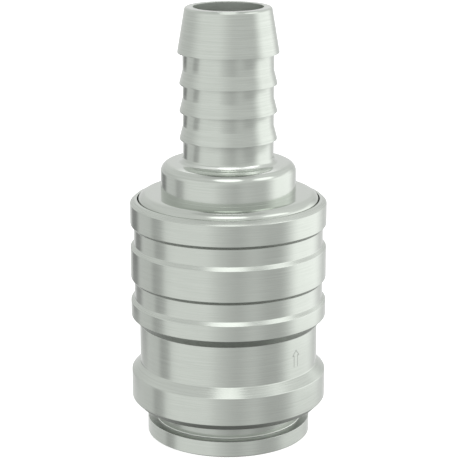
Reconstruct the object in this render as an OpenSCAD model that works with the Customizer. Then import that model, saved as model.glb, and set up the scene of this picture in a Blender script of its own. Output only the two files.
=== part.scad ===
// Hose quick coupling, socket half with a barbed hose tail, automatic ball lock and shut-off poppet.
// It stands on the front ring, with its axis on Z and the hose tail upwards.

/* [Hose tail] */
// Diameter of the tail between its barbs
root_d = 12.5; // [9:0.1:14]
// Wall of the tail between its barbs
tail_wall = 1.45; // [1:0.05:2]
// Height that the first barb's edge stands out
tip_barb_rise = 0.7; // [0.4:0.05:1.2]
// Height of the first barb's cone
tip_barb_h = 5.7; // [4:0.1:7]
// Depth that the tail's end lies inside its root diameter
tip_drop = 0.25; // [0:0.05:0.5]
// Radius of the rounded edge at the tail's end
tip_round = 0.5; // [0.2:0.1:0.7]
// Height that the other barbs stand out
barb_rise = 0.45; // [0.3:0.05:0.9]
// Height of the cone of each of the other barbs
barb_h = 1.9; // [1.2:0.1:2.6]
// Distance from one barb to the next
barb_pitch = 3.82; // [3:0.02:5]
// Number of barbs below the first one
barb_count = 3; // [2:1:5]
// Extra distance from the first barb to the next
tip_barb_gap = 0.47; // [0:0.01:1]
// Plain length between the collar and the lowest barb
root_len = 3.2; // [1.5:0.1:6]

/* [Collar and flange] */
// Width of the collar's shoulder that the hose end meets
collar_rise = 3.1; // [2:0.05:4]
// Height of the collar
collar_h = 4.25; // [3:0.05:8]
// Radius of the collar's rounded edge
collar_round = 1.3; // [0.5:0.1:1.6]
// Width of the flange's step past the sleeve's spring bore
flange_step = 0.6; // [0.4:0.05:1]
// Height of the flange
flange_h = 3.9; // [3.4:0.1:5]
// Radius of the flange's rounded edge
flange_round = 1.25; // [0.5:0.05:1.6]
// Wall of the threaded skirt under the flange
skirt_wall = 1.4; // [1.2:0.05:2]
// Height of the threaded skirt under the flange
skirt_h = 3.5; // [2:0.1:5]
// Depth of the spring's seat in the tail
pocket_h = 1.6; // [1:0.1:3]
// Width of the spring's seat round the air bore
seat_width = 1.6; // [1.2:0.05:2]
// Height of the tail over the body's end
roof_h = 0.9; // [0.6:0.05:2]

/* [Body] */
// Width that the front ring stands out from the body
front_ring_rise = 1.25; // [0.8:0.05:2]
// Height of the front ring
front_ring_h = 2.25; // [1.5:0.05:3]
// Length of the body
body_len = 33.2; // [32:0.1:40]

/* [Plug bore and valve] */
// Diameter of the bore that takes the plug
plug_bore_d = 14; // [12:0.1:18]
// Depth that the mouth's bore, which takes the plug's collar, is wider all round
mouth_step = 0.5; // [0.3:0.05:1]
// Chamfer of the mouth
mouth_chamfer = 0.5; // [0.3:0.1:1]
// Wall round the valve chamber
chamber_wall = 1.5; // [1.2:0.05:2]
// Length of the body between the ball holes and the plug seal's groove
seal_land = 1.12; // [0.8:0.02:2]
// Length of the body between the plug seal's groove and the valve bore
stop_land = 1.58; // [1:0.02:3]
// Length of the valve bore
valve_bore_len = 3.3; // [3:0.1:5]

/* [Ball lock] */
// Number of locking balls
ball_count = 10; // [6:1:10]
// Diameter of a locking ball
ball_d = 4; // [3.5:0.05:4.5]
// Depth of the balls' hold in the sleeve
ball_hold = 0.8; // [0.6:0.05:1]
// Inward travel of a ball for each millimetre that the sleeve moves
ball_rate = 0.45; // [0.4:0.01:0.48]

/* [Sleeve] */
// Wall of the sleeve at its mouth
rim_wall = 1; // [0.8:0.05:2]
// Free height between the front ring and the sleeve
sleeve_gap = 2.3; // [1.8:0.05:2.4]
// Depth that the sleeve's rim lies below the flange's face
rim_drop = 0.93; // [0.5:0.01:1.5]
// Height of the lip in front of the balls' recess
front_lip = 0.95; // [0.6:0.05:2]
// Chamfer on the sleeve's front edge
front_chamfer = 0.9; // [0.3:0.1:1.2]
// Height of the front grip ring
grip_ring_h = 3.87; // [3:0.01:5]
// Wall of the plain band over the balls' recess
band_wall = 1.26; // [0.8:0.02:2]
// Height of the lowest of the upper rings
low_ring_h = 2.12; // [1:0.02:4]
// Height of the lower groove
low_groove_h = 2.4; // [1.5:0.02:3]
// Height of the middle ring
mid_ring_h = 4.29; // [2.5:0.01:5]
// Height of the upper groove
top_groove_h = 2.4; // [1.5:0.02:3]
// Height of the top ring
top_ring_h = 2.83; // [2:0.01:4]
// Radial depth of the grooves
groove_depth = 0.48; // [0.2:0.01:0.6]

/* [Seals] */
// Thickness of the plug seal's cord
plug_seal_cord = 1.84; // [1.7:0.02:1.9]
// Thickness of the poppet seal's cord
poppet_seal_cord = 1.36; // [1.2:0.02:1.4]
// Thickness of the flat gasket under the tail
gasket_h = 0.8; // [0.5:0.1:1.2]

/* [Springs] */
// Wire of the sleeve spring
sleeve_wire = 0.9; // [0.7:0.05:0.95]
// Turns of the sleeve spring
sleeve_turns = 5; // [4:0.5:6]
// Wire of the poppet spring
poppet_wire = 0.8; // [0.6:0.05:0.9]
// Turns of the poppet spring
poppet_turns = 7; // [5:0.5:8]
// Thickness of the washer above the sleeve spring
washer_h = 0.6; // [0.4:0.1:1]

/* [Hidden] */

$fn = 96;
arc_steps = 8;

// Clearances
sliding = 0.05;       // the sleeve on the body, the threaded skirt on the body, and the poppet in its bore
running = 0.1;        // the flange in the sleeve's mouth
seal_play = 0.04;     // an unloaded seal and the face that slides past it
ball_play = 0.03;     // a ball and the ramp that drives it
recess_play = 0.2;    // a ball and the floor of the sleeve's recess
hole_play = 0.06;     // a ball and its hole
lip_play = 0.02;      // a ball and the lip that keeps it out of the bore
ball_room = 0.9;      // the balls and the sleeve's lip
coil_play = 0.05;     // a spring's end and its seat
ring_play = 0.01;     // an O-ring and the bottom of its groove
coil_room = 0.45;     // the poppet spring and the wall of its seat
wire_play = 0.25;     // the poppet spring and the boss inside it
bush_play = 0.3;      // the threaded skirt and the sleeve's spring bore

// Small edges
edge = 0.15;
lead = 0.3;
fillet = 0.4;
barb_land = 0.15;

// Body and valve, from the front ring upwards
bore_r = plug_bore_d / 2;
body_r = bore_r + ball_d - ball_hold;
front_r = body_r + front_ring_rise;
mouth_r = bore_r + mouth_step;
chamber_r = body_r - chamber_wall;
plug_stop = 0.2;
valve_bore_r = bore_r - plug_stop;
poppet_r = valve_bore_r - sliding;
seal_groove_h = plug_seal_cord + 0.2;
plug_seal_r = poppet_r + seal_play + plug_seal_cord / 2;
seal_groove_r = plug_seal_r + plug_seal_cord / 2 + ring_play;
floor_chamfer = 0.25;
sleeve_z = front_ring_h + sleeve_gap;
recess_z = sleeve_z + front_lip;
ball_r = ball_d / 2;
ball_z = recess_z + ball_room + ball_r;
mouth_len = ball_z - ball_r - mouth_step;
hole_r = ball_r + hole_play;
plug_seal_z = ball_z + hole_r + seal_land + seal_groove_h / 2;
valve_bore_z = plug_seal_z + seal_groove_h / 2 + stop_land;
floor_z = valve_bore_z + valve_bore_len;

// Tail, from the body's end upwards
roof_z = body_len + gasket_h;
flange_top = roof_z + roof_h;
flange_z = flange_top - flange_h;
skirt_z = flange_z - skirt_h;
collar_top = flange_top + collar_h;
low_barb_z = collar_top + root_len;
tip_barb_z = low_barb_z + barb_count * barb_pitch + tip_barb_gap;
tail_top = tip_barb_z + tip_barb_h + tip_round;
thread_r = body_r + sliding;
skirt_r = thread_r + skirt_wall;
spring_bore_r = skirt_r + bush_play;
flange_r = spring_bore_r + flange_step;
root_r = root_d / 2;
collar_r = root_r + collar_rise;
tail_bore_r = root_r - tail_wall;
tip_r = root_r - tip_drop;
pocket_r = tail_bore_r + seat_width;
spring_seat_z = roof_z + pocket_h;

// Sleeve, from its front edge upwards
mouth_bore_r = flange_r + running;
sleeve_r = mouth_bore_r + rim_wall;
groove_r = sleeve_r - groove_depth;
rim_z = flange_top - rim_drop;
rim_chamfer = [0.5, 0.59];
ball_rest_r = bore_r + ball_r;
recess_r = ball_rest_r + ball_r + recess_play;
band_r = recess_r + band_wall;
band_step = sleeve_r - band_r;
grip_z = sleeve_z + front_chamfer;
band_z = grip_z + grip_ring_h + band_step;
top_ring_z = rim_z - rim_chamfer[1] - top_ring_h;
top_groove_z = top_ring_z - groove_depth - top_groove_h;
mid_ring_z = top_groove_z - groove_depth - mid_ring_h;
low_groove_z = mid_ring_z - groove_depth - low_groove_h;
low_ring_z = low_groove_z - groove_depth - low_ring_h;
guide_r = body_r + sliding;
pull_room = 0.4;
mouth_bore_z = flange_z - pull_room;
shoulder_drop = 0.43;
shoulder_z = low_ring_z - shoulder_drop;

// Ball lock: the ramp keeps ball_play from the balls while the sleeve moves forward
travel = sleeve_gap - 0.05;
ball_locked_r = ball_rest_r - ball_rate * travel;
ramp = atan(ball_rate);
touch_r = ball_rest_r + (ball_r + ball_play) * cos(ramp);
touch_z = ball_z + (ball_r + ball_play) * sin(ramp);
ramp_low_z = touch_z - (recess_r - touch_r) / ball_rate;
ramp_top_z = touch_z + (touch_r - guide_r) / ball_rate;
lip_r = 0.93 * ball_r;
lip_end_r = ball_locked_r - sqrt(pow(ball_r + lip_play, 2) - pow(lip_r, 2));

// Poppet, from its front face upwards
poppet_lift = 3.5 * travel;
poppet_edge_z = ball_z - ball_r / 2;
poppet_chamfer = 0.8;
poppet_front_z = poppet_edge_z - poppet_chamfer;
poppet_wall = 2.15;
poppet_bore_r = poppet_r - poppet_wall;
air_gap = 0.9;
poppet_head_r = chamber_r - air_gap;
poppet_head_h = 1.3;
poppet_coil_r = pocket_r - coil_room - poppet_wire / 2;
poppet_boss_r = poppet_coil_r - poppet_wire / 2 - wire_play;
poppet_boss_h = 1.5;
poppet_seal_r = valve_bore_r - seal_play - poppet_seal_cord / 2;
poppet_groove_r = poppet_seal_r - poppet_seal_cord / 2 - ring_play;
poppet_groove_h = poppet_seal_cord + 0.14;
poppet_rim = 0.4;
poppet_groove_top = floor_z - poppet_rim;
poppet_groove_z = poppet_groove_top - poppet_groove_h;
port_count = 8;
port_r = 1.2;
port_land = 0.8;
port_z = poppet_groove_z - port_land - port_r;
poppet_bore_top = port_z + port_r;
poppet_top = floor_z + poppet_head_h;

// Springs
sleeve_coil_r = (guide_r + spring_bore_r) / 2;
washer_z = skirt_z - washer_h;
wire_sides = 8;
turn_steps = 28;

// An arc of arc_steps straight steps about a centre
function arc(centre, r, from, to) = [for (i = [0:arc_steps])
    let (a = from + (to - from) * i / arc_steps)
    [centre[0] + r * cos(a), centre[1] + r * sin(a)]];

// One barb: a square step out of the root, a narrow land and a cone back to the root
function barb(z, r, h) = [[root_r, z], [r, z], [r, z + barb_land], [root_r, z + h]];

module hose_tail() {
    flange_edge = arc([flange_r - flange_round, flange_top - flange_round], flange_round, 0, 90);
    collar_foot = arc([collar_r + fillet, flange_top + fillet], fillet, 270, 180);
    collar_edge = arc([collar_r - collar_round, collar_top - collar_round], collar_round, 0, 90);
    root_foot = arc([root_r + fillet, collar_top + fillet], fillet, 270, 180);
    barbs = [for (i = [0:barb_count - 1]) each barb(low_barb_z + i * barb_pitch, root_r + barb_rise, barb_h)];
    tip_barb_r = root_r + tip_barb_rise;
    tip_barb = [[root_r, tip_barb_z], [tip_barb_r, tip_barb_z], [tip_barb_r, tip_barb_z + barb_land]];
    tip_edge = arc([tip_r - tip_round, tail_top - tip_round], tip_round, 0, 90);
    inside = [[tail_bore_r + edge, tail_top], [tail_bore_r, tail_top - edge],
        [tail_bore_r, spring_seat_z], [pocket_r, spring_seat_z], [pocket_r, roof_z],
        [thread_r, roof_z], [thread_r, skirt_z + edge], [thread_r + edge, skirt_z]];
    color("gainsboro")
        rotate_extrude()
            polygon(concat([[skirt_r, skirt_z], [skirt_r, flange_z], [flange_r - edge, flange_z],
                [flange_r, flange_z + edge]], flange_edge, collar_foot, collar_edge, root_foot, barbs,
                tip_barb, tip_edge, inside));
}

module tail_gasket() {
    color("dimgray")
        translate([0, 0, body_len])
            difference() {
                cylinder(r = body_r, h = gasket_h);
                translate([0, 0, -1])
                    cylinder(r = chamber_r + 0.1, h = gasket_h + 2);
            }
}

// The seat of one ball, drilled from outside and stopped short of the bore by a narrower lip
module ball_seat() {
    translate([0, 0, ball_z])
        rotate([0, 90, 0]) {
            cylinder(r = lip_r, h = lip_end_r + 0.1);
            translate([0, 0, lip_end_r])
                cylinder(r = hole_r, h = body_r);
        }
}

module body() {
    outside = concat([[mouth_r + mouth_chamfer, 0], [front_r - edge, 0], [front_r, edge], [front_r, front_ring_h - edge],
        [front_r - edge, front_ring_h]],
        arc([body_r + edge, front_ring_h + edge], edge, 270, 180),
        [[body_r, body_len - edge], [body_r - edge, body_len]]);
    inside = [[chamber_r, body_len], [chamber_r, floor_z], [valve_bore_r + floor_chamfer, floor_z],
        [valve_bore_r, floor_z - floor_chamfer], [valve_bore_r, valve_bore_z], [bore_r, valve_bore_z],
        [bore_r, plug_seal_z + seal_groove_h / 2], [seal_groove_r, plug_seal_z + seal_groove_h / 2],
        [seal_groove_r, plug_seal_z - seal_groove_h / 2], [bore_r, plug_seal_z - seal_groove_h / 2],
        [bore_r, mouth_len + mouth_step], [mouth_r, mouth_len], [mouth_r, mouth_chamfer]];
    color("silver")
        difference() {
            rotate_extrude()
                polygon(concat(outside, inside));
            for (i = [1:ball_count])
                rotate([0, 0, i * 360 / ball_count])
                    ball_seat();
        }
}

// An O-ring as a true ring
module seal_ring(r, cord, z) {
    translate([0, 0, z])
        rotate_extrude()
            translate([r, 0])
                circle(d = cord);
}

module plug_seal() {
    color("dimgray")
        seal_ring(plug_seal_r, plug_seal_cord, plug_seal_z);
}

module poppet_seal() {
    color("dimgray")
        seal_ring(poppet_seal_r, poppet_seal_cord, poppet_groove_z + poppet_groove_h / 2);
}

module sleeve() {
    outside = [[guide_r + lead, sleeve_z], [sleeve_r - front_chamfer, sleeve_z], [sleeve_r, grip_z],
        [sleeve_r, band_z - band_step], [band_r, band_z], [band_r, low_ring_z - band_step],
        [sleeve_r, low_ring_z], [sleeve_r, low_ring_z + low_ring_h], [groove_r, low_groove_z],
        [groove_r, low_groove_z + low_groove_h], [sleeve_r, mid_ring_z], [sleeve_r, mid_ring_z + mid_ring_h],
        [groove_r, top_groove_z], [groove_r, top_groove_z + top_groove_h], [sleeve_r, top_ring_z],
        [sleeve_r, rim_z - rim_chamfer[1]], [sleeve_r - rim_chamfer[0], rim_z]];
    inside = [[mouth_bore_r, rim_z], [mouth_bore_r, mouth_bore_z], [spring_bore_r, mouth_bore_z],
        [spring_bore_r, shoulder_z], [guide_r, shoulder_z], [guide_r, ramp_top_z], [recess_r, ramp_low_z],
        [recess_r, recess_z], [guide_r, recess_z], [guide_r, sleeve_z + lead]];
    color("lightgray")
        rotate_extrude()
            polygon(concat(outside, inside));
}

module spring_washer() {
    color("darkgray")
        translate([0, 0, washer_z])
            difference() {
                cylinder(r = skirt_r - edge, h = washer_h);
                translate([0, 0, -1])
                    cylinder(r = thread_r + edge, h = washer_h + 2);
            }
}

// The height of a coil's wire after t turns: one closed turn at each end and an even pitch between them
function coil_z(t, turns, wire, h) =
    let (closed = wire * 1.04, pitch = (h - wire - 2 * closed) / (turns - 2))
    wire / 2 + closed * min(t, 1) + pitch * max(0, min(t, turns - 1) - 1) + closed * max(0, t - turns + 1);

// A compression spring standing on z = 0, as a round wire swept along its coil
module coil_spring(r, wire, turns, h) {
    rings = round(turns * turn_steps);
    spoke = 360 / turn_steps;
    points = [for (i = [0:rings], k = [0:wire_sides - 1])
        let (a = i * spoke, b = 360 * k / wire_sides, d = r + wire / 2 * cos(b))
        [d * cos(a), d * sin(a), coil_z(i / turn_steps, turns, wire, h) + wire / 2 * sin(b)]];
    sides = [for (i = [0:rings - 1], k = [0:wire_sides - 1])
        let (n = (k + 1) % wire_sides, low = i * wire_sides, top = low + wire_sides)
        [low + k, top + k, top + n, low + n]];
    ends = [[for (k = [0:wire_sides - 1]) k], [for (k = [wire_sides - 1:-1:0]) rings * wire_sides + k]];
    polyhedron(points = points, faces = concat(sides, ends));
}

module sleeve_spring() {
    color("slategray")
        translate([0, 0, shoulder_z + coil_play])
            coil_spring(sleeve_coil_r, sleeve_wire, sleeve_turns, washer_z - shoulder_z - 2 * coil_play);
}

module poppet_spring() {
    color("slategray")
        translate([0, 0, poppet_top + coil_play])
            coil_spring(poppet_coil_r, poppet_wire, poppet_turns, spring_seat_z - poppet_top - 2 * coil_play);
}

module poppet() {
    outside = [[poppet_bore_r, poppet_front_z], [poppet_r - poppet_chamfer, poppet_front_z],
        [poppet_r, poppet_edge_z], [poppet_r, poppet_groove_z], [poppet_groove_r, poppet_groove_z],
        [poppet_groove_r, poppet_groove_top], [poppet_r, poppet_groove_top], [poppet_r, floor_z],
        [poppet_head_r, floor_z], [poppet_head_r, poppet_top - edge], [poppet_head_r - edge, poppet_top],
        [poppet_boss_r, poppet_top], [poppet_boss_r - edge, poppet_top + poppet_boss_h],
        [0, poppet_top + poppet_boss_h], [0, poppet_bore_top], [poppet_bore_r, poppet_bore_top]];
    color("goldenrod")
        difference() {
            rotate_extrude()
                polygon(outside);
            for (i = [1:port_count])
                rotate([0, 0, i * 360 / port_count])
                    translate([0, 0, port_z])
                        rotate([0, 90, 0])
                            cylinder(r = port_r, h = poppet_r + 1);
        }
}

module lock_ball(i) {
    color("whitesmoke")
        rotate([0, 0, i * 360 / ball_count])
            translate([ball_rest_r, 0, ball_z])
                sphere(r = ball_r);
}

hose_tail();
tail_gasket();
body();
plug_seal();
sleeve();
spring_washer();
sleeve_spring();
poppet();
poppet_seal();
poppet_spring();
for (i = [1:ball_count])
    lock_ball(i);
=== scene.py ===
import math
from collections import namedtuple

import bpy
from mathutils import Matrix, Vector


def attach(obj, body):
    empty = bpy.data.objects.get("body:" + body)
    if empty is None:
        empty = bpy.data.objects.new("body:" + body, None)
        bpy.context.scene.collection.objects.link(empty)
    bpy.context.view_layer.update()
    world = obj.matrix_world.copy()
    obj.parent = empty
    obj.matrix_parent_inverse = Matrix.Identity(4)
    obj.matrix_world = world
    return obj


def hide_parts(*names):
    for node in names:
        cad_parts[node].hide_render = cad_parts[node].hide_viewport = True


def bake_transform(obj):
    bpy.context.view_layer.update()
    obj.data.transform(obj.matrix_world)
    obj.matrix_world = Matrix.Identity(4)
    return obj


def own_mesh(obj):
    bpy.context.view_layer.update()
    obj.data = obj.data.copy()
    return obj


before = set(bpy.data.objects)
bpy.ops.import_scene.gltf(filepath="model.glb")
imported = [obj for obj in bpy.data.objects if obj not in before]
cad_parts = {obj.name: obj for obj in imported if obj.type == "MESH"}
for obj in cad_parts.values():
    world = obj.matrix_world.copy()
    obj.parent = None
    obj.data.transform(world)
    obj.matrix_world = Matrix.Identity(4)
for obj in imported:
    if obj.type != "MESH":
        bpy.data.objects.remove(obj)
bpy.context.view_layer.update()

# Outlines, springs and the places in the materials are in millimetres, all other lengths in metres
MM = 0.001


# Camera, at the photograph's height and distance

bpy.ops.object.camera_add(location=(0.00009, -0.23449, 0.09216), rotation=(math.radians(75.02), 0, 0))
camera = bpy.context.object
camera.name = "camera"
camera.data.lens = 136.96
camera.data.sensor_width = 36
camera.data.clip_start = 0.01
camera.data.clip_end = 20
scene = bpy.context.scene
scene.camera = camera
scene.view_settings.view_transform = "Standard"


# Shader maths

class Value:
    """A node's output that takes part in Python expressions."""

    def __init__(self, paint, socket):
        self.paint = paint
        self.socket = socket

    def _math(self, operation, *others):
        return self.paint.node("Math", {"operation": operation}, [self, *others])

    def __add__(self, other):
        return self._math("ADD", other)

    __radd__ = __add__

    def __sub__(self, other):
        return self._math("SUBTRACT", other)

    def __rsub__(self, other):
        return self.paint.node("Math", {"operation": "SUBTRACT"}, [other, self])

    def __mul__(self, other):
        return self._math("MULTIPLY", other)

    def __truediv__(self, other):
        return self._math("DIVIDE", other)

    def __pow__(self, other):
        return self._math("POWER", other)

    def __abs__(self):
        return self._math("ABSOLUTE")

    def __lt__(self, other):
        return self._math("LESS_THAN", other)

    def __gt__(self, other):
        return self._math("GREATER_THAN", other)

    def high(self, other):
        return self._math("MAXIMUM", other)

    def ramp(self, start, stop, first=0.0, last=1.0):
        return self.paint.node("MapRange", {"interpolation_type": "SMOOTHSTEP"},
                               {"Value": self, "From Min": start, "From Max": stop,
                                "To Min": first, "To Max": last}, "Result")

    def spread(self):
        """Noise mostly stays in the middle of its range; this stretches it to the whole of it."""
        return self.ramp(0.35, 0.65)

    def output(self, key):
        """Another output of the same node."""
        return Value(self.paint, self.socket.node.outputs[key])


class Paint:
    """The nodes of a material or of the world."""

    def __init__(self, owner):
        self.owner = owner
        owner.use_nodes = True
        self.tree = owner.node_tree
        self.tree.nodes.clear()

    def node(self, kind, settings=None, inputs=(), output=0):
        """Adds a node; its inputs are in order or by name, and one of its outputs comes back."""
        node = self.tree.nodes.new("ShaderNode" + kind)
        for key, value in (settings or {}).items():
            setattr(node, key, value)
        for key, value in inputs.items() if isinstance(inputs, dict) else enumerate(inputs):
            if isinstance(value, Value):
                self.tree.links.new(value.socket, node.inputs[key])
            else:
                node.inputs[key].default_value = value
        return Value(self, node.outputs[output]) if node.outputs else None

    def point(self):
        return self.node("TexCoord", output="Object")

    def place(self):
        """Place on the object in millimetres: x, y, z and the distance from the axis."""
        split = self.node("SeparateXYZ", inputs=[self.point()])
        x, y, z = (split.output(i) * 1000 for i in range(3))
        return x, y, z, (x * x + y * y) ** 0.5

    def noise(self, where, scale, detail=3.0, rough=0.6):
        return self.node("TexNoise", {"noise_dimensions": "3D"},
                         {"Vector": where, "Scale": scale, "Detail": detail, "Roughness": rough}, "Fac")

    def lines(self, where, scale):
        """Noise that changes along one measure only."""
        return self.node("TexNoise", {"noise_dimensions": "1D"},
                         {"W": where, "Scale": scale, "Detail": 3.0, "Roughness": 0.6}, "Fac")

    def colours(self, amount, first, last):
        """From one colour to another; a Mix node's colour sockets share their names, so they go by number."""
        first, last = ((*c, 1) if isinstance(c, tuple) else c for c in (first, last))
        return self.node("Mix", {"data_type": "RGBA"}, {0: amount, 6: first, 7: last}, 2)

    def bump(self, height, strength, distance):
        return self.node("Bump", None, {"Height": height, "Strength": strength, "Distance": distance}, "Normal")

    def surface(self, shader):
        self.node("OutputMaterial", None, {"Surface": shader})
        return self.owner

    def principled(self, colour, **sockets):
        return self.surface(self.node("BsdfPrincipled", None, {"Base Color": colour, **sockets}))


def new_paint(name):
    return Paint(bpy.data.materials.new(name))


# Turned steel

STEEL = (0.497, 0.527, 0.487)

# A zone painted lighter, standing in for light that falls or is mirrored there, from low to high and within reach of
#  the axis; front is the distance before the axis at which it starts, and without it the zone goes all the way round
PaintedLight = namedtuple("PaintedLight", "reach low high colour rougher front", defaults=(None,))


def times(colour, factor):
    return tuple(c * factor for c in colour)


def turned_steel(name, slopes=0.0, bore=0.0, painted_light=None, neck=0.0, arrow=False):
    """Bright turned steel: fine tool lines and long streaks round the axis, soft blotches, and faces looking up
    painted lighter as a painted highlight. Slopes are rougher by that much, and then the chamfers under the rings
    are rougher and darker by painted shade; bore and neck are radii, inside which a bored wall is rougher and the
    neck under the sleeve is darker by painted shade. A painted light zone is painted lighter, where light falls or is
    mirrored onto it."""
    paint = new_paint(name)
    x, y, z, r = paint.place()
    along = z + r * 2.2
    stretched = paint.node("CombineXYZ", inputs=[x * 0.15, y * 0.15, along * 9.0])
    fine = paint.lines(along, 14.0)
    streak = paint.noise(stretched, 1.0, detail=2.0)
    cloud = paint.noise(paint.point(), 180.0, rough=0.55)
    tone = fine * 0.25 + streak * 0.55 + cloud * 0.2
    colour = paint.colours(tone.spread(), times(STEEL, 0.955), times(STEEL, 1.045))
    rough = 0.11 + fine * 0.02 + cloud * 0.02 + streak.spread() * 0.05
    height = fine

    up = paint.node("SeparateXYZ", inputs=[paint.node("TexCoord", output="Normal")]).output("Z")
    flat = up.ramp(0.9, 0.99)
    # painted highlight: faces looking up are painted lighter, as where light from above falls on them
    colour = paint.colours(flat, colour, times(STEEL, 1.12))
    if slopes:
        lower_cone = z < 12.0
        slope = up.ramp(0.45, 0.6) * (1 - flat) * (1 - lower_cone * 0.5)
        under_ring_rough_and_shaded = (up < -0.5) * (z < 31.0)
        rough = rough + slope * slopes + under_ring_rough_and_shaded * 0.3
        # painted shade: the chamfers under the rings are painted darker, as where shade falls under them
        colour = paint.colours(under_ring_rough_and_shaded, colour, times(STEEL, 0.68))
    if bore:
        inside = (r < bore) * (z > 36.0)
        rough = rough + inside * 0.3
    if painted_light:
        painted_light_mask = (r < painted_light.reach) * (z > painted_light.low) * (z < painted_light.high)
        if painted_light.front is not None:
            painted_light_mask = painted_light_mask * (0 - y).ramp(painted_light.front, painted_light.front + 3)
        # painted light: the zone is painted lighter, as where light falls or is mirrored onto it
        colour = paint.colours(painted_light_mask, colour, painted_light.colour)
        rough = rough + painted_light_mask * painted_light.rougher
    if neck:
        neck_painted_shade = (r < neck) * (z > 2.4)
        # painted shade: the neck under the sleeve is painted darker, as where the sleeve's shade falls on it
        colour = paint.colours(neck_painted_shade * 0.3, colour, times(STEEL, 0.3))
    if arrow:
        mark = arrow_mark(x, y, z)
        colour = paint.colours(mark * 0.75, colour, times(STEEL, 0.55))
        rough = rough + mark * 0.15
        height = height - mark * 6.0
    return paint.principled(colour, Metallic=1.0, Roughness=rough, Normal=paint.bump(height, 0.05, 0.00001))


def arrow_mark(x, y, z):
    """Open arrow engraved on the plain band, pointing to the hose tail."""
    turn = math.radians(48)
    side = abs(x * math.cos(turn) + y * math.sin(turn))
    facing = x * math.sin(turn) - y * math.cos(turn)
    half_line, half_shaft, half_head, slant = 0.07, 0.36, 0.7, 1.15
    foot, shoulder, tip = 12.05, 13.7, 14.45
    shaft = (abs(side - half_shaft) < half_line) * (z > foot) * (z < shoulder + 0.05)
    barb = (abs(z - shoulder) < half_line) * (side > half_shaft - 0.04) * (side < half_head)
    head = (abs(z - tip + side * slant) < half_line * 1.5) * (side < half_head - 0.02)
    return shaft.high(head).high(barb) * (facing > 6.0)


# Modelling

SIDES = 192


def clear():
    if bpy.context.mode != "OBJECT":
        bpy.ops.object.mode_set(mode="OBJECT")
    bpy.ops.object.select_all(action="DESELECT")


def select(piece):
    clear()
    piece.select_set(True)
    bpy.context.view_layer.objects.active = piece


def named(name):
    """The piece that has just been added, under its name."""
    piece = bpy.context.object
    piece.name = name
    piece.data.name = name
    return piece


def apply(piece, kind, **settings):
    select(piece)
    modifier = piece.modifiers.new(kind.title(), kind)
    for key, value in settings.items():
        setattr(modifier, key, value)
    bpy.ops.object.modifier_apply(modifier=modifier.name)


def smooth(piece, angle=40):
    """Shades the piece smooth, apart from edges sharper than the angle, with its large faces kept flat."""
    select(piece)
    bpy.ops.object.shade_smooth_by_angle(angle=math.radians(angle))
    apply(piece, "WEIGHTED_NORMAL", keep_sharp=True, weight=80)


def eased(piece, width):
    """Breaks the sharp edges by a small round, and shades the rest smooth."""
    apply(piece, "BEVEL", limit_method="ANGLE", angle_limit=math.radians(13), width=width * MM,
          segments=2, use_clamp_overlap=True)
    smooth(piece)


def arc(cr, cz, radius, start, stop, steps=8, wide=None):
    """Points of a rounded edge or fillet in the outline, from one angle to the other.
    With wide, it is half an ellipse's width along the radius of the part."""
    points = []
    for i in range(steps + 1):
        angle = math.radians(start + (stop - start) * i / steps)
        points.append((cr + (wide or radius) * math.cos(angle), cz + radius * math.sin(angle)))
    return points


def turned(name, outline):
    """Turns a closed outline of (radius, height) round the axis, ring by ring."""
    clear()
    r, z = outline[0]
    bpy.ops.mesh.primitive_circle_add(vertices=SIDES, radius=r * MM, location=(0, 0, z * MM))
    piece = named(name)
    bpy.ops.object.transform_apply(location=True, rotation=False, scale=False)
    bpy.ops.object.mode_set(mode="EDIT")
    bpy.ops.mesh.select_all(action="SELECT")
    for (r0, z0), (r1, z1) in zip(outline, outline[1:] + outline[:1]):
        bpy.ops.mesh.extrude_region_move(TRANSFORM_OT_translate={"value": (0, 0, (z1 - z0) * MM)})
        if not math.isclose(r1, r0):
            bpy.ops.transform.resize(value=(r1 / r0, r1 / r0, 1), center_override=(0, 0, z1 * MM))
    bpy.ops.mesh.select_all(action="SELECT")
    bpy.ops.mesh.remove_doubles(threshold=0.002 * MM)
    bpy.ops.mesh.normals_make_consistent(inside=False)
    bpy.ops.object.mode_set(mode="OBJECT")
    return piece


def cover(piece, material):
    piece.data.materials.clear()
    piece.data.materials.append(material)


def finished(piece, material, body, slot, *nodes):
    """Gives the piece its material and replaced nodes, and the body that it rides on, if it is one only; slot is not
    used.
    """
    cover(piece, material)
    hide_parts(*nodes)
    if body:
        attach(piece, body)


# Locking sleeve

sleeve_outline = [
    (10.55, 4.55), (12.75, 4.55), (13.65, 5.45), (13.65, 9.32), (12.46, 10.51), (12.46, 16.23),
    (13.65, 17.42), (13.65, 19.54), (13.17, 20.02), (13.17, 22.42), (13.65, 22.9), (13.65, 27.19),
    (13.17, 27.67), (13.17, 30.07), (13.65, 30.52), (13.65, 33.42), (13.07, 33.97), (12.65, 33.97),
    (12.65, 30.6), (11.95, 30.6), (11.95, 16.99), (10.25, 16.99), (10.25, 10.569), (11.2, 8.458),
    (11.2, 5.5), (10.25, 5.5), (10.25, 4.85)]
sleeve = turned("sleeve_turned", sleeve_outline)
eased(sleeve, 0.07)
finished(sleeve, turned_steel("sleeve steel", slopes=0.12, arrow=True), "locking_sleeve", "turned_steel", "sleeve")


# Body: front ring, neck, plug bore, ball holes

BALLS = 10
BALL_HEIGHT = 8.4
BALL_HOLE = ((2.06, 7.2, 12), (1.86, 4, 7.25))  # outer and inner step: radius, start and end

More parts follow.
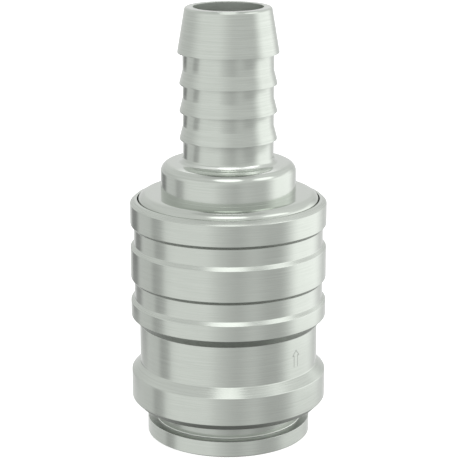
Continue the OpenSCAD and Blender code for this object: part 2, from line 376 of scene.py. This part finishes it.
body_outline = [
    (8.0, 0.0), (11.3, 0.0), (11.45, 0.15), (11.45, 2.2), (11.4, 2.25),
    *arc(10.32, 2.37, 0.12, 270, 180), (10.2, 33.05), (10.05, 33.2), (8.7, 33.2),
    (8.7, 18.5), (7.05, 18.5), (6.8, 18.25), (6.8, 15.2), (7.0, 15.2), (7.0, 13.62),
    (8.64, 13.62), (8.64, 11.58), (7.0, 11.58), (7.0, 6.4), (7.5, 5.9), (7.5, 0.5)]
body = turned("body_turned", body_outline)
for i in range(BALLS):
    turn = math.radians(360 / BALLS * i)
    for radius, start, stop in BALL_HOLE:
        clear()
        middle = (start + stop) / 2
        bpy.ops.mesh.primitive_cylinder_add(
            vertices=48, radius=radius * MM, depth=(stop - start) * MM,
            location=(middle * math.cos(turn) * MM, middle * math.sin(turn) * MM, BALL_HEIGHT * MM),
            rotation=(0, math.pi / 2, turn))
        drill = bpy.context.object
        apply(body, "BOOLEAN", operation="DIFFERENCE", object=drill, solver="EXACT")
        bpy.data.objects.remove(drill)
eased(body, 0.05)
# painted light: the front ring's top face is painted lighter and rougher, as where light falls on it
ring_top_painted_light = PaintedLight(reach=11.42, low=2.2, high=2.4, colour=(0.74, 0.77, 0.73), rougher=0.22)
finished(body, turned_steel("body steel", neck=10.3, painted_light=ring_top_painted_light), "socket", "turned_steel", "body")


# Hose tail: skirt, flange, collar, root and barbs

ROOT = 6.25

tail_outline = [
    (10.4, 27.5), (11.65, 27.5), (11.65, 31.0), (12.4, 31.0), (12.55, 31.15),
    *arc(10.95, 33.65, 1.25, 0, 90, wide=1.6), (9.35, 34.9),
    *arc(7.9, 37.85, 1.3, 0, 90, wide=1.45), *arc(7.05, 39.95, 0.8, 270, 180, 10)]
for z in (42.35, 46.17, 49.99):
    tail_outline += [(ROOT, z), (6.7, z), (6.7, z + 0.15), (ROOT, z + 1.9)]
tail_outline += [
    (ROOT, 54.28), (6.95, 54.28), (6.95, 54.43), *arc(5.6, 60.08, 0.4, 10, 90), (4.84, 60.48), (4.8, 60.44),
    (4.8, 35.6), (6.4, 35.6), (6.4, 34.0), (10.25, 34.0), (10.25, 27.65)]
tail = turned("hose_tail_turned", tail_outline)
eased(tail, 0.05)
# painted reflection: a lighter band at the root's foot, on the front side only, standing in for light mirrored there
root_foot_painted_highlight = PaintedLight(reach=8.6, low=39.0, high=39.6, colour=(0.86, 0.89, 0.85), rougher=0.05, front=4.0)
finished(tail, turned_steel("tail steel", bore=4.9, painted_light=root_foot_painted_highlight), "socket", "turned_steel", "hose_tail")


# Springs

WIRE_SIDES = 12
TURN_STEPS = 40


def spring(name, middle, wire, low, high, turns):
    """Round wire wound from low to high at the middle radius, with a closed turn at each end."""
    clear()
    bpy.ops.mesh.primitive_circle_add(vertices=WIRE_SIDES, radius=wire / 2 * MM,
                                      location=(middle * MM, 0, (low + wire / 2) * MM),
                                      rotation=(math.pi / 2, 0, 0), fill_type="NGON")
    piece = named(name)
    bpy.ops.object.transform_apply(location=True, rotation=True, scale=False)
    rise = high - low - wire
    closed = wire * 1.02

    def height(turn):
        if turn <= 1:
            return closed * turn
        if turn >= turns - 1:
            return rise - closed * (turns - turn)
        return closed + (rise - 2 * closed) * (turn - 1) / (turns - 2)

    bpy.ops.object.mode_set(mode="EDIT")
    bpy.ops.mesh.select_all(action="SELECT")
    for i in range(turns * TURN_STEPS):
        up = height((i + 1) / TURN_STEPS) - height(i / TURN_STEPS)
        bpy.ops.mesh.extrude_region_move(TRANSFORM_OT_translate={"value": (0, 0, up * MM)})
        bpy.ops.transform.rotate(value=-2 * math.pi / TURN_STEPS, orient_axis="Z", center_override=(0, 0, 0))
    bpy.ops.mesh.select_all(action="SELECT")
    bpy.ops.mesh.normals_make_consistent(inside=False)
    bpy.ops.object.mode_set(mode="OBJECT")
    smooth(piece, 50)
    return piece


def spring_steel():
    paint = new_paint("spring wire")
    drawn = paint.noise(paint.point(), 2600.0, 2.0, 0.5)
    cloud = paint.noise(paint.point(), 300.0)
    colour = paint.colours((drawn * 0.4 + cloud * 0.6).spread(), (0.36, 0.36, 0.36), (0.46, 0.46, 0.45))
    return paint.principled(colour, Metallic=1.0, Roughness=0.24 + cloud * 0.16,
                            Normal=paint.bump(drawn, 0.1, 0.00002))


wire_steel = spring_steel()
sleeve_spring = spring("sleeve_spring_wound", 11.1, 0.9, 17.04, 26.85, 5)
finished(sleeve_spring, wire_steel, None, "spring_steel", "sleeve_spring")
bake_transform(sleeve_spring)

poppet_spring = spring("poppet_spring_wound", 5.55, 0.8, 19.85, 35.55, 7)
finished(poppet_spring, wire_steel, "socket", "spring_steel", "poppet_spring")
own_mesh(poppet_spring)


# Finishes of the pieces that keep their own solids

def ball_steel():
    paint = new_paint("ball steel")
    cloud = paint.noise(paint.point(), 700.0)
    scuff = paint.noise(paint.point(), 4200.0, 2.0, 0.5)
    colour = paint.colours(cloud, (0.56, 0.56, 0.57), (0.64, 0.64, 0.63))
    return paint.principled(colour, Metallic=1.0, Roughness=0.08 + scuff.ramp(0.55, 0.75) * 0.1,
                            Normal=paint.bump(scuff, 0.03, 0.00001))


def poppet_brass():
    paint = new_paint("poppet brass")
    *_, z, r = paint.place()
    fine = paint.lines(z + r * 0.6, 8.0)
    cloud = paint.noise(paint.point(), 260.0)
    colour = paint.colours((fine * 0.4 + cloud * 0.6).spread(), (0.66, 0.47, 0.20), (0.78, 0.58, 0.28))
    return paint.principled(colour, Metallic=1.0, Roughness=0.24 + cloud * 0.1,
                            Normal=paint.bump(fine, 0.12, 0.00002))


def rubber(name, first, last, grain):
    paint = new_paint(name)
    cloud = paint.noise(paint.point(), 420.0)
    pores = paint.noise(paint.point(), grain)
    colour = paint.colours(cloud.spread(), first, last)
    return paint.principled(colour, Roughness=0.42 + pores * 0.22, Normal=paint.bump(pores, 0.2, 0.00003))


seal_rubber = rubber("seal rubber", (0.018, 0.018, 0.019), (0.035, 0.035, 0.036), 3000.0)
gasket = rubber("gasket fibre", (0.10, 0.11, 0.10), (0.17, 0.18, 0.165), 5200.0)
bright = ball_steel()
own_finish = {"poppet": poppet_brass(), "poppet_seal": seal_rubber, "plug_seal": seal_rubber,
              "tail_gasket": gasket, "spring_washer": wire_steel,
              **{"lock_ball_%d" % (i + 1): bright for i in range(BALLS)}}
for name, material in own_finish.items():
    cover(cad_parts[name], material)


# Floor

def rays(paint):
    """Which rays look at a surface: the camera's, mirrored ones and those through glass."""
    seen = paint.node("LightPath", output="Is Camera Ray")
    return seen, seen.output("Is Glossy Ray"), seen.output("Is Transmission Ray")


def floor_white():
    """White to the camera, but with the object's shadow; mirrored rays pass through it to the tent."""
    paint = new_paint("floor white")
    seen, mirrored, through = rays(paint)
    speck = paint.noise(paint.point(), 60.0)
    matt = paint.node("BsdfDiffuse", None, {"Color": paint.colours(speck, (0.80, 0.80, 0.80), (0.82, 0.82, 0.82))})
    glow = paint.node("Emission", None, {"Color": (1, 1, 1, 1), "Strength": seen * 0.6})
    white = paint.node("AddShader", inputs=[matt, glow])
    nothing = paint.node("BsdfTransparent")
    return paint.surface(paint.node("MixShader", inputs=[mirrored.high(through), white, nothing]))


clear()
# a hair below the part's foot, so that the two faces don't meet
bpy.ops.mesh.primitive_plane_add(size=4, location=(0, 0, -0.00002))
floor = bpy.context.object
floor.name = "floor"
bpy.ops.object.transform_apply(location=True)
cover(floor, floor_white())


# Tent: a plain level, and what stands behind its cloth

TENT_BOTTOM, TENT_ROOF = -450, 1600
TENT_LEVEL = 0.85

# Angle from the camera's side to the right, half the width, lower and upper edge, and how much it brightens the cloth
TENT_LIGHTS = (
    (-45, 60, -450, 250, 0.28),   # soft box at the left front
    (105, 45, -230, 300, 0.75),   # soft box at the right
    (105, 45, -450, -230, 0.2),   # its light on the cloth below
    (95, 75, 300, 1400, 0.14),    # and above
    (0, 30, -450, 0, -0.12),      # camera and its stand
    (60, 30, -450, -140, -0.15),  # stand of the right box
    (-90, 14, -450, -60, -0.3),   # post of the tent
    (-142, 18, -215, -60, -0.5),  # the tent's slit
)


def tent_cloth():
    """Light tent: its wall is brighter before the soft boxes, and the ground is dark under the part."""
    paint = new_paint("tent cloth")
    x, y, z, r = paint.place()
    around = paint.node("Math", {"operation": "ARCTAN2"}, [x, 0 - y]) * (180 / math.pi)
    level = TENT_LEVEL + z.ramp(100, 400) * 0.1
    for angle, half, low, high, amount in TENT_LIGHTS:
        aside = 180 - abs(abs(around - angle) - 180)
        band = z.ramp(low - 50, low + 50) * z.ramp(high - 50, high + 50, 1.0, 0.0)
        level = level + aside.ramp(half * 0.3, half, 1.0, 0.0) * band * amount
    ground = z.ramp(TENT_BOTTOM, -290, 0.3 + r.ramp(190, 340) * 0.45, 1.0)
    roof = z > TENT_ROOF - 10
    strength = level * ground * (1 - roof * 0.2)
    return paint.surface(paint.node("Emission", None, {"Color": (1, 1, 1, 1), "Strength": strength}))


clear()
bpy.ops.mesh.primitive_cylinder_add(vertices=64, radius=0.7, depth=(TENT_ROOF - TENT_BOTTOM) * MM,
                                    location=(0, 0, (TENT_ROOF + TENT_BOTTOM) / 2 * MM))
tent = bpy.context.object
tent.name = "light_tent"
bpy.ops.object.transform_apply(location=True)
cover(tent, tent_cloth())
tent.visible_camera = False
tent.visible_shadow = False


# Lamps

def soft_box(name, place, aim, width, height, radiance, shape):
    """Soft lamp that faces a point; its power follows from how bright its cloth is."""
    clear()
    bpy.ops.object.light_add(type="AREA", location=place)
    lamp = bpy.context.object
    lamp.name = name
    lamp.data.shape = shape
    lamp.data.size = width
    lamp.data.size_y = height
    lamp.data.energy = radiance * math.pi * width * height * (math.pi / 4 if shape == "ELLIPSE" else 1)
    facing = Vector(aim) - Vector(place)
    lamp.rotation_euler = facing.to_track_quat("-Z", "Y").to_euler()
    lamp.visible_camera = False


soft_box("front_panel", (0, -0.295, 0.36), (0, -0.295, 0), 0.3, 0.33, 1.2, "ELLIPSE")
soft_box("right_panel", (0.475, -0.15, 0.36), (0.475, -0.15, 0), 0.46, 0.34, 0.91, "ELLIPSE")
soft_box("back_top_box", (0, 0.34045, 0.9169), (0, 0, 0.03), 0.24, 0.42, 1.3, "RECTANGLE")


# World: white to the camera and in reflections, a little lower as light

world = scene.world or bpy.data.worlds.new("studio")
scene.world = world
sky = Paint(world)
seen, mirrored, through = rays(sky)
white = sky.node("Background", None, {"Color": (1, 1, 1, 1), "Strength": 1.0})
soft = sky.node("Background", None, {"Color": (1, 1, 1, 1), "Strength": 0.8})
level = seen.high(mirrored).high(through)
sky.node("OutputWorld", None, {"Surface": sky.node("MixShader", inputs=[level, soft, white])})
